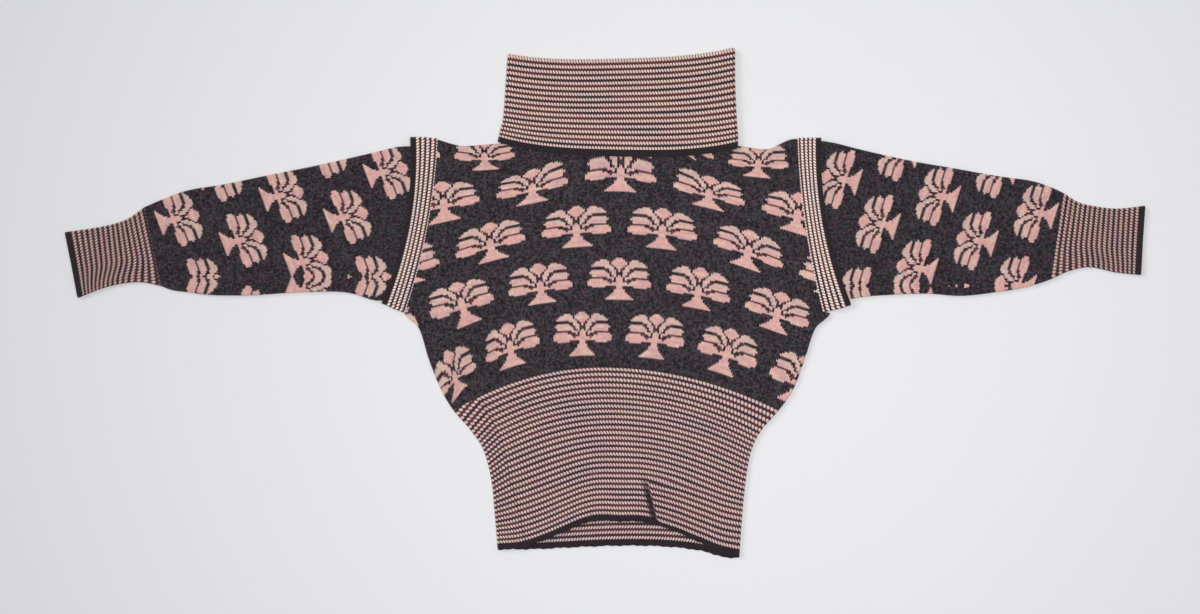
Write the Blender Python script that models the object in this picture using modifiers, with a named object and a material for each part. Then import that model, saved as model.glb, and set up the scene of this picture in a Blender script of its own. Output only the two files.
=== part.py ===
"""High neck sweater, laid flat on a table with its sleeves straight out.

A knitted jumper of eleven pieces: front and back panels, a deep waistband in two pieces,
two sleeves with cuffs, a band round each armhole, and a high collar turned down over itself.
Every piece is a knit wall that lies on the layer below it, with rounded folds at its edges.
Tables are in millimetres: X across the garment (the wearer's left is +X), Y up towards the
collar, Z up from the table, with the origin under the middle of the garment's box.
"""

import math
from collections import namedtuple

import bpy
import numpy as np

MM = 0.001

# The knit wall and how its layers lie
WALL = 2.2
SEAM_GAP = 0.4  # between two pieces at a seam
LAYER = 3.0  # from the middle of one layer to the middle of the next
TUCK = WALL + SEAM_GAP  # the same, where one tube lies close inside another
BACK = WALL / 2  # height of the middle of the layer on the table
FRONT = BACK + LAYER
SIDE_PUFF = 1.2  # how much higher the front stands beside a side fold
PUFF_REACH = 26.0  # how far from a fold that rise is felt
QUARTER = 3  # steps in a quarter turn of a fold
TURN_STEPS = np.array([0, 0.25, 0.62, 1])  # where they end, as shares of the quarter turn
FLAT_STEP = 0.8  # between those steps where the layer's edge is flat

# Torso: a row for each course line from the shoulders (0) over the waist (9) to the hem (14).
# left and right are the side edges, peak_x is where the course is highest, front_y and back_y
# its height there, bend the power of its curve, roll 1 where the side is a fold and 0 where it
# is an armhole, seam_in how far the left side seam lies on the front.
Course = namedtuple(
    "Course", "left_x left_y right_x right_y peak_x front_y back_y bend roll seam_in"
)
TORSO = (
    Course(-234, 229, 269, 230, 17, 222, 222, 6.0, 0, 25),
    Course(-239, 172, 274, 172, 17, 175, 174, 4.0, 0, 25),
    Course(-245, 123, 280, 123, 17, 133, 128, 2.6, 0, 25),
    Course(-255, 74, 290, 74, 17, 91, 83, 2.1, 0, 25),
    Course(-268, 25, 303, 25, 17, 52, 40, 2.0, 0, 25),
    Course(-280, -13, 315, -13, 17, 21, 5, 2.0, 0, 25),
    Course(-260, -36, 294, -36, 14, 2, -15, 2.0, 1, 25),
    Course(-246, -80, 279, -80, 9, -31, -56, 2.0, 1, 25),
    Course(-229, -122, 263, -122, 3, -63, -97, 2.0, 1, 25),
    Course(-212, -150, 243, -150, -3, -90, -130, 2.0, 1, 25),
    Course(-188, -178, 219, -178, -1, -121, -162, 2.0, 1, 22),
    Course(-170, -206, 205, -206, 5, -154, -191, 2.0, 1, 21),
    Course(-159, -248, 197, -248, 12, -199, -234, 1.9, 1, 25),
    Course(-154, -297, 192, -297, 20, -250, -288, 1.7, 1, 34),
    Course(-150, -345, 188, -354, 24, -302, -342, 1.4, 1, 41),
)
UNDERARM, WAIST, HEM = 5, 9, 14
SIDE_BEGINS = 1.3  # rows below the underarm over which the side turns into a fold
ROW_GAP = 0.01  # half a seam gap at the waist, in rows of the table

# The shoulders' top edge, the front hem and the back hem, from the photo's left to its right
Point = namedtuple("Point", "x y")
SHOULDERS = (
    Point(-234, 229),
    Point(-219, 224),
    Point(-203, 220),
    Point(-175, 221),
    Point(-146, 223),
    Point(20, 223),
    Point(184, 220),
    Point(205, 217),
    Point(231, 216),
    Point(246, 223),
    Point(260, 229),
    Point(269, 230),
)
FRONT_HEM = (
    Point(-150, -344),
    Point(-119, -338),
    Point(-85, -328),
    Point(-58, -317),
    Point(-25, -303),
    Point(20, -302),
    Point(66, -304),
    Point(98, -314),
    Point(133, -330),
    Point(163, -342),
    Point(188, -353),
)
BACK_HEM = (
    Point(-150, -345),
    Point(-90, -345),
    Point(-50, -343),
    Point(20, -341),
    Point(70, -342),
    Point(105, -344),
    Point(133, -347),
    Point(156, -352.5),
    Point(173, -357.5),
    Point(188, -356),
)
TOP_FADE = 2.0  # rows over which the shoulder line turns into the courses
HEM_FADE = 3.0  # rows over which the courses turn into the hem
HEM_LIFT = 2.4  # how far the arched front hem stands off the back
CREASE_X, CREASE_Y, CREASE_LONG, CREASE_WIDE, CREASE_HIGH = 67, -290, 44, 7, 1.6

# The neck, where the body rises to the collar's inner tube
NECK_LEFT, NECK_RIGHT = -146, 182
NECK_TURN = 26.0
SEAM_TURN = SEAM_GAP / LAYER  # angle on a fold that leaves half a seam gap there
NECK_RISE_FROM, NECK_RISE_TO = 40.0, 14.0  # below the shoulder line

# Edges across a flattened tube: from the fold at its top to the fold at its low end. bow is how
# far the middle is shifted in X, under and over are the heights of the middle of its layers.
Section = namedtuple("Section", "top_x top_y low_x low_y bow under over puff")
SLEEVE_HEAD = BACK + TUCK, BACK + TUCK + LAYER
BAND_TOP = BACK + 2 * TUCK + LAYER
SLEEVE_RIGHT = (
    Section(-265, 213, -301, 5, 13, *SLEEVE_HEAD, 0.0),
    Section(-290, 218, -323, 4, 10, BACK + 2.3, FRONT + 2.3, 0.1),
    Section(-329, 209, -364, 15, 4, BACK, FRONT + 0.6, 1.4),
    Section(-399, 193, -427, 15, 0, BACK, FRONT + 0.4, 1.6),
    Section(-469, 179, -490, 11, 0, BACK, FRONT + 0.4, 1.6),
    Section(-532, 166, -546, 11, 0, BACK, FRONT + 0.3, 1.6),
    Section(-581, 158, -583, 15, 0, BACK, FRONT + 0.3, 1.5),
    Section(-616, 146, -605, 18, 0, BACK, FRONT + 0.2, 1.2),
    Section(-644, 134, -621, 24, 0, BACK, FRONT, 1.0),
)
CUFF_RIGHT = (
    Section(-644, 134, -621, 24, 0, BACK, FRONT, 1.0),
    Section(-665, 119, -648, 29, 0, BACK, FRONT, 1.0),
    Section(-686, 111, -676, 27, 0, BACK, FRONT, 1.0),
    Section(-714, 105, -704, 20, 0, BACK, FRONT, 1.1),
    Section(-755, 99, -737, 7, 0, BACK, FRONT, 1.2),
)
SLEEVE_LEFT = (
    Section(294, 217, 333, 3, -13, *SLEEVE_HEAD, 0.0),
    Section(319, 223, 357, 8, -10, BACK + 2.3, FRONT + 2.3, 0.1),
    Section(364, 213, 392, 11, -4, BACK, FRONT + 0.6, 1.4),
    Section(427, 199, 448, 13, 0, BACK, FRONT + 0.4, 1.6),
    Section(490, 188, 500, 10, 0, BACK, FRONT + 0.4, 1.6),
    Section(546, 178, 553, 16, 0, BACK, FRONT + 0.3, 1.6),
    Section(595, 171, 588, 22, 0, BACK, FRONT + 0.3, 1.5),
    Section(623, 162, 609, 28, 0, BACK, FRONT + 0.2, 1.2),
    Section(641, 154, 623, 33, 0, BACK, FRONT, 1.0),
)
CUFF_LEFT = (
    Section(641, 154, 623, 33, 0, BACK, FRONT, 1.0),
    Section(662, 141, 650, 45, 0, BACK, FRONT, 1.0),
    Section(687, 135, 679, 50, 0, BACK, FRONT, 1.0),
    Section(718, 132, 713, 43, 0, BACK, FRONT, 1.1),
    Section(754.9, 136, 749, 39, 0, BACK, FRONT, 1.2),
)
BAND_RIGHT = (
    Section(-234, 230, -280, -14, 9, BACK, FRONT, 1.2),
    Section(-243, 231, -288, -11, 10, BACK, FRONT + 1.8, 0.6),
    Section(-253, 232, -296, -8, 11, BACK, FRONT + 3.9, 0.2),
    Section(-263, 232, -304, -4, 13, BACK, BAND_TOP, 0.0),
    Section(-272, 232, -312, -1, 14, BACK, BAND_TOP, 0.0),
)
BAND_LEFT = (
    Section(269, 231, 315, -14, -9, BACK, FRONT, 1.2),
    Section(277, 231, 322, -11, -10, BACK, FRONT + 1.8, 0.6),
    Section(285, 231, 329, -9, -11, BACK, FRONT + 3.9, 0.2),
    Section(293, 231, 336, -6, -12, BACK, BAND_TOP, 0.0),
    Section(302, 231, 344, -3, -13, BACK, BAND_TOP, 0.0),
)
SEAM_STEP = 0.5  # a tube starts this far past the edge that it is sewn to

# Collar: a row for each height from its hem to the fold at its top
Height = namedtuple("Height", "left_x left_y right_x right_y front_y back_y")
COLLAR = (
    Height(-150, 225, 186, 221, 214, 226),
    Height(-147, 240, 186, 237, 233, 240),
    Height(-142, 262, 184, 262, 256, 258),
    Height(-139, 305, 182, 312, 299, 300),
    Height(-136, 348, 182, 356.8, 341, 341),
)

CHARCOAL = (0.040, 0.032, 0.040)
STRIPED = (0.270, 0.170, 0.155)


def turn(x):
    """A soft step: 0 below 0, 1 above 1, 3x^2 - 2x^3 between."""
    x = np.clip(x, 0, 1)
    return x * x * (3 - 2 * x)


def smooth(at, known, values):
    """A smooth curve through values at the known places (Catmull-Rom slopes), read at at."""
    known, values = np.asarray(known, float), np.asarray(values, float)
    slope = np.gradient(values, known, axis=0)
    i = np.clip(np.searchsorted(known, at, side="right") - 1, 0, len(known) - 2)
    wide = known[i + 1] - known[i]
    t = (np.asarray(at, float) - known[i]) / wide
    if values.ndim == 2:
        t, wide = t[:, None], wide[:, None]
    a, b = values[i], values[i + 1]
    return (
        a * (1 + 2 * t) * (1 - t) ** 2
        + b * t * t * (3 - 2 * t)
        + wide * (slope[i] * t * (1 - t) ** 2 - slope[i + 1] * t * t * (1 - t))
    )


def rows_at(table, at):
    """A table's columns at fractional row numbers, as arrays."""
    kind = type(table[0])
    return kind(*smooth(at, np.arange(len(table)), table).T)


def armhole_x(band, y):
    """X of an armhole's edge at y, where the torso and the first ring of its band meet."""
    edge = band[0]
    t = np.clip((edge.top_y - y) / (edge.top_y - edge.low_y), 0, 1)
    return edge.top_x + (edge.low_x - edge.top_x) * t + edge.bow * 4 * t * (1 - t)


def torso_rows(rows):
    """The torso's columns at fractional rows, its sides on the armholes above the underarm."""
    c = Course(*(column.reshape(rows.shape) for column in rows_at(TORSO, rows.ravel())))
    above = rows < UNDERARM
    return c._replace(
        left_x=np.where(above, armhole_x(BAND_RIGHT, c.left_y), c.left_x),
        right_x=np.where(above, armhole_x(BAND_LEFT, c.right_y), c.right_x),
    )


def line_at(points, x):
    """The Y of a line of points at x."""
    return smooth(np.ravel(x), [p.x for p in points], [p.y for p in points]).reshape(np.shape(x))


def part_turn(start, radius):
    """Angles from start to a right angle, and how far in each lies from the layer's edge.

    The first step rises straight up, so the edge of one layer faces that of the other. Where
    start is near the right angle the cloth is flat, and the steps spread out along it.
    """
    step = np.arange(QUARTER + 1)
    start = np.asarray(start, float)[..., None]
    flat_share = np.clip((start - SEAM_TURN) / (math.pi / 2 - SEAM_TURN), 0, 1)
    angle = start + (math.pi / 2 - start) * TURN_STEPS
    first = angle[..., :1] + (angle[..., 1:2] - angle[..., :1]) * (1 - flat_share)
    inward = radius * (np.cos(first) - np.cos(np.maximum(angle, first)))
    return angle, inward + FLAT_STEP * step * flat_share


def material(name, color):
    made = bpy.data.materials.new(name)
    made.use_nodes = True
    shader = made.node_tree.nodes["Principled BSDF"]
    shader.inputs["Base Color"].default_value = (*color, 1)
    shader.inputs["Roughness"].default_value = 0.9
    shader.inputs["Metallic"].default_value = 0
    made.diffuse_color = (*color, 1)
    return made


def knit_wall(name, points, color, parts, closed=False):
    """A knit wall through a grid of points (rows, columns, XYZ) that are the wall's middle."""
    rows, columns = points.shape[:2]
    spans = columns if closed else columns - 1
    faces = [
        (
            r * columns + c,
            r * columns + (c + 1) % columns,
            (r + 1) * columns + (c + 1) % columns,
            (r + 1) * columns + c,
        )
        for r in range(rows - 1)
        for c in range(spans)
    ]
    mesh = bpy.data.meshes.new(name)
    mesh.from_pydata((points.reshape(-1, 3) * MM).tolist(), [], faces)
    mesh.shade_smooth()
    mesh.materials.append(material(name, color))
    piece = bpy.data.objects.new(name, mesh)
    parts.objects.link(piece)
    wall = piece.modifiers.new("wall", "SOLIDIFY")
    wall.thickness = WALL * MM
    wall.offset = 0
    return piece


def torso_points(rows, x, side, edge_turn, top_turn):
    """Points of a torso layer, side 1 for the front and -1 for the back.

    A course's Y is peak + (edge - peak) |s|^bend, with s from 0 at the peak to 1 at the side.
    edge_turn and top_turn are the angle on a fold at the sides and at the shoulders: at 0 the
    layer meets the other one, at a right angle it is flat.
    """
    c = torso_rows(rows)
    s = np.where(x < c.peak_x, (c.peak_x - x) / (c.peak_x - c.left_x),
                 (x - c.peak_x) / (c.right_x - c.peak_x))
    s = np.clip(s, 0, 1)
    edge_y = np.where(x < c.peak_x, c.left_y, c.right_y)
    shape = s ** c.bend
    flat = np.sin(edge_turn) * np.sin(top_turn)
    share = (1 + side * flat) / 2

    y_front = c.front_y + (edge_y - c.front_y) * shape
    y_back = c.back_y + (edge_y - c.back_y) * shape
    top, hem = TORSO[0], TORSO[HEM]
    near_top = turn(1 - rows / TOP_FADE)
    near_hem = turn((rows - HEM + HEM_FADE) / HEM_FADE)
    top_edge = np.where(x < top.peak_x, top.left_y, top.right_y)
    top_move = line_at(SHOULDERS, x) - top.front_y - (top_edge - top.front_y) * shape
    hem_edge = np.where(x < hem.peak_x, hem.left_y, hem.right_y)
    x_hem = hem.left_x + (x - c.left_x) / (c.right_x - c.left_x) * (hem.right_x - hem.left_x)
    front_move = line_at(FRONT_HEM, x_hem) - hem.front_y - (hem_edge - hem.front_y) * shape
    back_move = line_at(BACK_HEM, x_hem) - hem.back_y - (hem_edge - hem.back_y) * shape
    y_front = y_front + near_top * top_move + near_hem * front_move
    y_back = y_back + near_top * top_move + near_hem * back_move
    y = y_back + (y_front - y_back) * share

    to_side = np.minimum(x - c.left_x, c.right_x - x)
    below_shoulder = line_at(SHOULDERS, x) - y
    rise = turn((NECK_RISE_FROM - below_shoulder) / (NECK_RISE_FROM - NECK_RISE_TO))
    rise = LAYER * rise * in_neck(x) * (rows < UNDERARM)
    under = BACK + rise
    by_side = c.roll * np.exp(-((to_side / PUFF_REACH) ** 2))
    by_top = (1 - in_neck(x)) * np.exp(-((below_shoulder / PUFF_REACH) ** 2))
    over = FRONT + rise + SIDE_PUFF * np.maximum(by_side, by_top)
    over = over + HEM_LIFT * near_hem ** 2 * (1 - s ** 2)
    along = (y - CREASE_Y) / CREASE_LONG
    away = (x - CREASE_X) / CREASE_WIDE
    over = over + CREASE_HIGH * np.exp(-2 * along ** 2 - away ** 2) * (rows > WAIST)
    z = (over + under) / 2 + side * flat * (over - under) / 2
    return np.stack(np.broadcast_arrays(x, y, z), axis=-1)


def in_neck(x):
    """1 across the neck, 0 along the shoulders."""
    return turn((x - NECK_LEFT) / NECK_TURN) * turn((NECK_RIGHT - x) / NECK_TURN)


def panel_shares(left_x, right_x):
    """Places across a panel, as shares of its width, close together where the neck begins."""
    stops = [left_x, NECK_LEFT, NECK_LEFT + NECK_TURN, NECK_RIGHT - NECK_TURN, NECK_RIGHT, right_x]
    steps = [3, 3, 9, 3, 3]
    places = [np.linspace(a, b, n + 1)[:-1] for a, b, n in zip(stops, stops[1:], steps)]
    return (np.concatenate(places)[1:] - left_x) / (right_x - left_x)


def torso_panel(name, side, parts):
    """The front or back panel, from the shoulders and the neck down to the waist."""
    rows = np.concatenate([
        np.zeros(QUARTER + 1),
        np.linspace(0, UNDERARM, 8)[1:],
        np.linspace(UNDERARM, UNDERARM + SIDE_BEGINS, 6)[1:],
        np.linspace(UNDERARM + SIDE_BEGINS, WAIST - ROW_GAP, 4)[1:],
    ])
    c = torso_rows(rows)
    start = np.maximum((1 - c.roll) * math.pi / 2, SEAM_TURN)
    edge_turn, inward = part_turn(start, (LAYER + SIDE_PUFF) / 2)
    inward = inward + SEAM_GAP / 2 + WALL / 2 * c.roll[:, None]
    left, right = c.left_x[:, None] + inward, c.right_x[:, None] - inward[:, ::-1]
    share = panel_shares(left[0, -1], right[0, 0])
    middle = left[:, -1:] + (right[:, :1] - left[:, -1:]) * share
    x = np.concatenate([left, middle, right], axis=1)
    flat = np.full(middle.shape, math.pi / 2)
    edge_turn = np.concatenate([edge_turn, flat, edge_turn[:, ::-1]], axis=1)

    neck = in_neck(x[0])
    turns, below = part_turn(np.maximum(neck * math.pi / 2, SEAM_TURN), (LAYER + SIDE_PUFF) / 2)
    below = below + WALL / 2 * (1 - neck[:, None])
    rows = np.repeat(rows[:, None], x.shape[1], axis=1)
    rows[: QUARTER + 1] = below.T / (TORSO[0].front_y - TORSO[1].front_y)
    top_turn = np.full(x.shape, math.pi / 2)
    top_turn[: QUARTER + 1] = turns.T
    points = torso_points(rows, x, side, edge_turn, top_turn)
    knit_wall(name, points, CHARCOAL, parts)


def waistband_pieces(parts, steps, columns):
    """The waistband's front, and its back, which wraps round the left fold to the seam."""
    rows = np.linspace(WAIST + ROW_GAP, HEM, steps + 1)
    c = torso_rows(rows)
    turns, inward = part_turn(0, (LAYER + SIDE_PUFF) / 2)
    fold = WALL / 2 + inward[None, :]
    joined = np.maximum(turns, SEAM_TURN)
    left, right = c.left_x[:, None], c.right_x[:, None]
    seam = left + c.seam_in[:, None]

    def across(from_x, to_x, count, skip):
        return from_x + (to_x - from_x) * np.linspace(0, 1, count + 1)[None, skip:]

    def points(x, side, edge_turn):
        turned = np.broadcast_to(edge_turn, x.shape)
        return torso_points(np.repeat(rows[:, None], x.shape[1], axis=1), x, side, turned,
                            math.pi / 2)

    x = np.concatenate([across(seam + SEAM_GAP / 2, right - fold[:, -1:], columns, 0),
                        right - fold[:, -2::-1]], axis=1)
    turned = np.concatenate([np.full(columns + 1, math.pi / 2), joined[-2::-1]])
    knit_wall("waistband_front", points(x, 1, turned), STRIPED, parts)

    x = np.concatenate([right - fold, across(right - fold[:, -1:], left + fold[:, -1:],
                                             columns, 1), left + fold[:, -2::-1]], axis=1)
    turned = np.concatenate([joined, np.full(columns, math.pi / 2), turns[-2::-1]])
    back = points(x, -1, turned)
    x = np.concatenate([left + fold[:, 1:],
                        across(left + fold[:, -1:], seam - SEAM_GAP / 2, 3, 1)], axis=1)
    turned = np.concatenate([turns[1:], np.full(3, math.pi / 2)])
    wrap = points(x, 1, turned)
    knit_wall("waistband_back", np.concatenate([back, wrap], axis=1), STRIPED, parts)


def ring(section, columns):
    """The middle line of a flattened tube: front from top to low end, round, and back again."""
    top = np.array([section.top_x, section.top_y])
    low = np.array([section.low_x, section.low_y])
    long = np.linalg.norm(low - top)
    under = max(section.under, BACK)
    half = (section.over + section.puff - under) / 2
    turns, inward = part_turn(0, half)
    fold = WALL / 2 + inward
    share = np.linspace(0, 1, columns + 1)[1:-1]
    middle = fold[-1] + (long - 2 * fold[-1]) * share
    d = np.concatenate([fold, middle, long - fold[::-1]])
    flat = np.concatenate([np.sin(turns), np.ones(len(share)), np.sin(turns)[::-1]])
    t = d / long
    x = top[0] + (low[0] - top[0]) * t + section.bow * 4 * t * (1 - t)
    y = top[1] + (low[1] - top[1]) * t
    to_fold = np.minimum(d, long - d)
    over = section.over + section.puff * np.exp(-((to_fold / PUFF_REACH) ** 2))
    middle_z, half_z = (over + under) / 2, (over - under) / 2
    front = np.stack([x, y, middle_z + half_z * flat], axis=-1)
    back = np.stack([x, y, middle_z - half_z * flat], axis=-1)[-2:0:-1]
    return np.concatenate([front, back])


def tube(name, table, color, parts, steps, columns):
    """A flattened tube through a table of sections, a seam gap short of the first one."""
    at = np.linspace(0, len(table) - 1, steps + 1)
    first = Section(*table[0])
    second = Section(*table[1])
    at[0] = SEAM_STEP / math.dist(
        (first.top_x + first.low_x, first.top_y + first.low_y),
        (second.top_x + second.low_x, second.top_y + second.low_y),
    ) * 2
    c = rows_at(table, at)
    rings = [ring(Section(*values), columns) for values in zip(*c)]
    knit_wall(name, np.array(rings), color, parts, closed=True)


def collar(parts, heights, columns):
    """The collar: an inner tube up from the neck, a fold at the top, and down to the hem.

    Each ring is the inner tube's ring moved out by 0 to LAYER, so the turned-down layer runs
    beside the inner one all round: over it in front, round it at the sides, under it behind.
    """
    top_row = len(COLLAR) - 1
    fold_radius = LAYER / 2
    angles = np.linspace(-math.pi / 2, math.pi / 2, 2 * QUARTER + 1)
    straight = np.linspace(0, 1, heights + 1)
    row = np.concatenate([straight * top_row, np.full(len(angles) - 2, top_row),
                          top_row * (1 - straight)])
    out = np.concatenate([np.zeros(heights + 1), fold_radius * (1 + np.sin(angles[1:-1])),
                          np.full(heights + 1, LAYER)])
    up = np.concatenate([np.zeros(heights + 1), fold_radius * np.cos(angles[1:-1]),
                         np.zeros(heights + 1)])
    below_top = WALL / 2 + fold_radius
    c = rows_at(COLLAR, row)
    inner = np.arange(len(row)) <= heights
    rings = []
    for i in range(len(row)):
        under, over = BACK + LAYER - out[i], FRONT + LAYER + out[i]
        half = (over - under) / 2
        turns, inward = part_turn(0, half)
        fold = WALL / 2 + LAYER - out[i] + inward
        wide = c.right_x[i] - c.left_x[i]
        share = np.linspace(0, 1, columns + 1)[1:-1]
        d = np.concatenate([fold, fold[-1] + (wide - 2 * fold[-1]) * share, wide - fold[::-1]])
        flat = np.concatenate([np.sin(turns), np.ones(len(share)), np.sin(turns)[::-1]])
        s = np.abs(2 * d / wide - 1)
        edge_y = c.left_y[i] + (c.right_y[i] - c.left_y[i]) * d / wide
        mid_y = (c.left_y[i] + c.right_y[i]) / 2
        front_y = edge_y + (c.front_y[i] - mid_y) * (1 - s ** 3)
        back_y = edge_y + (c.back_y[i] - mid_y) * (1 - s ** 3)
        if inner[i]:
            lift = straight[i]
            foot_y = line_at(SHOULDERS, c.left_x[i] + d) + 2 * SEAM_GAP
            front_y = foot_y + (front_y - foot_y) * lift
            back_y = foot_y + (back_y - foot_y) * lift
            rise = -below_top * lift
        else:
            rise = up[i] - below_top * (row[i] / top_row)
        x = c.left_x[i] + d
        middle_z, half_z = (over + under) / 2, (over - under) / 2 * flat
        middle_y, half_y = (front_y + back_y) / 2, (front_y - back_y) / 2 * flat
        front = np.stack([x, middle_y + half_y + rise, middle_z + half_z], axis=-1)
        back = np.stack([x, middle_y - half_y + rise, middle_z - half_z], axis=-1)[-2:0:-1]
        rings.append(np.concatenate([front, back]))
    knit_wall("collar", np.array(rings), STRIPED, parts, closed=True)


def build():
    for thing in list(bpy.data.objects):
        bpy.data.objects.remove(thing, do_unlink=True)
    parts = bpy.data.collections.new("high_neck_sweater")
    bpy.context.scene.collection.children.link(parts)

    torso_panel("body_front", 1, parts)
    torso_panel("body_back", -1, parts)
    waistband_pieces(parts, 9, 16)
    tube("sleeve_right", SLEEVE_RIGHT, CHARCOAL, parts, 12, 6)
    tube("sleeve_left", SLEEVE_LEFT, CHARCOAL, parts, 12, 6)
    tube("cuff_right", CUFF_RIGHT, STRIPED, parts, 5, 6)
    tube("cuff_left", CUFF_LEFT, STRIPED, parts, 5, 6)
    tube("armhole_band_right", BAND_RIGHT, STRIPED, parts, 4, 9)
    tube("armhole_band_left", BAND_LEFT, STRIPED, parts, 4, 9)
    collar(parts, 4, 9)


build()
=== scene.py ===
import math
from collections import namedtuple

import bpy
import numpy as np
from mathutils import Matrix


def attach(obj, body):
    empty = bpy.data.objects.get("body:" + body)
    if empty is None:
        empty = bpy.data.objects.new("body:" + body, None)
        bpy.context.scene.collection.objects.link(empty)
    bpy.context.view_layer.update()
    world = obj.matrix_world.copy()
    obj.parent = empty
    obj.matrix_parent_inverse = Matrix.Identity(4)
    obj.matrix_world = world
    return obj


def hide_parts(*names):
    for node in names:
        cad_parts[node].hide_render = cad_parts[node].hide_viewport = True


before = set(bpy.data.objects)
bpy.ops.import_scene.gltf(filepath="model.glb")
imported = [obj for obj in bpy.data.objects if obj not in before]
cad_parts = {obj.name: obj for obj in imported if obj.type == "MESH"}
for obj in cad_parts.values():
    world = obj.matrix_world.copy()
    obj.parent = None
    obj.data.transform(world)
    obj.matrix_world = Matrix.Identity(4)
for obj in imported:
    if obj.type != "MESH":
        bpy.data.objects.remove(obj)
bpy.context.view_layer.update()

# BODY. Two panels of charcoal jacquard knit with rows of palm trees in space-dyed pink wool,
# knitted in one with the pattern, joined at the shoulders and folded at the sides, where they
# lie on each other from the neck down to the waistband.
MM = 0.001
WALL = 2.2
LAYER = 3.0  # from the middle of one layer to the middle of the next
TUCK = 2.6  # the same, where one tube lies close inside another
BACK = WALL / 2
FRONT = BACK + LAYER
SEAM = 0.05  # what is left open at a seam, on each side of it
SIDE_PUFF, PUFF_REACH = 1.2, 26.0
FOLD_STEPS, LEAST_TURN = 6, 0.03
OPEN_SPREAD = 2.4  # how far a fold's steps spread where its edge is open and flat
CREASE_FADE = 22  # creases die out this near a fold

# In the tables left is the side at -X; pieces named left and right go by their wearer
Course = namedtuple(
    "Course", "left_x left_y right_x right_y peak_x front_y back_y bend roll seam_in"
)
TORSO = (
    Course(-234, 229, 269, 230, 17, 222, 222, 6.0, 0, 25),
    Course(-239, 172, 274, 172, 17, 175, 174, 4.0, 0, 25),
    Course(-245, 123, 280, 123, 17, 133, 128, 2.6, 0, 25),
    Course(-255, 74, 290, 74, 17, 91, 83, 2.1, 0, 25),
    Course(-268, 25, 303, 25, 17, 52, 40, 2.0, 0, 25),
    Course(-280, -13, 315, -13, 17, 21, 5, 2.0, 0, 25),
    Course(-260, -36, 294, -36, 14, 2, -15, 2.0, 1, 25),
    Course(-246, -80, 279, -80, 9, -31, -56, 2.0, 1, 25),
    Course(-229, -122, 263, -122, 3, -63, -97, 2.0, 1, 25),
    Course(-212, -150, 243, -150, -3, -90, -130, 2.0, 1, 34),
    Course(-188, -178, 219, -178, -1, -121, -162, 2.0, 1, 29),
    Course(-170, -206, 205, -206, 5, -154, -191, 2.0, 1, 25),
    Course(-159, -248, 197, -248, 12, -199, -234, 1.9, 1, 25),
    Course(-154, -297, 192, -297, 20, -250, -288, 1.7, 1, 34),
    Course(-150, -345, 188, -354, 24, -302, -342, 1.4, 1, 41),
)
UNDERARM, WAIST, HEM = 5, 9, 14
ROW_TALL, FINE_ROWS = 30, 400  # one row's height, about, and the steps rows are read by
TOP_Y, WAIST_Y = 220, -90  # on the middle of the front
BODY_ROWS, BODY_COLUMNS = 128, 211

Point = namedtuple("Point", "x y")
SHOULDERS = (
    Point(-234, 229), Point(-219, 224), Point(-203, 220), Point(-175, 221), Point(-146, 223),
    Point(20, 223), Point(184, 220), Point(205, 217), Point(231, 216), Point(246, 223),
    Point(260, 229), Point(269, 230),
)
FRONT_HEM = (
    Point(-150, -344), Point(-119, -342), Point(-85, -331.5), Point(-58, -320), Point(-32, -309),
    Point(-20, -305.5), Point(20, -305), Point(58, -306.5), Point(71, -309.5), Point(98, -319),
    Point(133, -335), Point(163, -348), Point(188, -354),
)
BACK_HEM = (
    Point(-150, -345), Point(-90, -344), Point(-50, -342), Point(20, -339.5), Point(70, -340),
    Point(105, -342.5), Point(133, -346.5), Point(156, -352.5), Point(173, -357),
    Point(188, -355.5),
)
TOP_FADE, HEM_FADE, HEM_LIFT, EDGE_FADE = 2.0, 3.0, 2.4, 0.2
NECK_LEFT, NECK_RIGHT, NECK_TURN = -146, 182, 26.0
NECK_RISE_FROM, NECK_RISE_TO = 40.0, 14.0
SHOULDER_FLAT, SHOULDER_FADE = 46, 30  # creases begin this far below the shoulders

# The first section of each armhole band is also the torso's edge there
Section = namedtuple("Section", "top_x top_y low_x low_y bow under over puff")
BAND_TOP = BACK + 2 * TUCK + LAYER
BAND_RIGHT = (
    Section(-234, 230, -280, -14, 9, BACK, FRONT, 1.2),
    Section(-243, 231, -288, -11, 10, BACK, FRONT + 1.8, 0.6),
    Section(-253, 232, -296, -8, 11, BACK, FRONT + 3.9, 0.2),
    Section(-263, 232, -304, -4, 13, BACK, BAND_TOP, 0.0),
    Section(-272, 232, -312, -1, 14, BACK, BAND_TOP, 0.0),
)
BAND_LEFT = (
    Section(269, 231, 305, -13, -7, BACK, FRONT, 1.2),
    Section(277, 231, 315, -11, -8, BACK, FRONT + 1.8, 0.6),
    Section(285, 231, 325, -9, -10, BACK, FRONT + 3.9, 0.2),
    Section(293, 231, 335, -6, -12, BACK, BAND_TOP, 0.0),
    Section(302, 231, 344, -3, -13, BACK, BAND_TOP, 0.0),
)

# Soft creases: the middle, the direction in degrees, half length, half width and height
Crease = namedtuple("Crease", "x y angle long wide high")
BODY_CREASES = (
    Crease(-190, 20, 62, 70, 16, 1.5),
    Crease(-222, -40, 48, 46, 11, 1.2),
    Crease(-150, -70, 25, 60, 14, -0.5),
    Crease(228, 6, -60, 76, 17, 1.6),
    Crease(258, -62, -50, 42, 12, 1.0),
    Crease(176, -84, -28, 64, 13, -0.5),
    Crease(-60, 60, 8, 120, 24, 0.8),
    Crease(104, -10, -6, 96, 20, 0.9),
    Crease(30, -64, 2, 110, 12, 0.9),
    Crease(-170, 150, 80, 60, 14, 1.0),
    Crease(214, 140, -82, 64, 15, 1.2),
)

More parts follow.
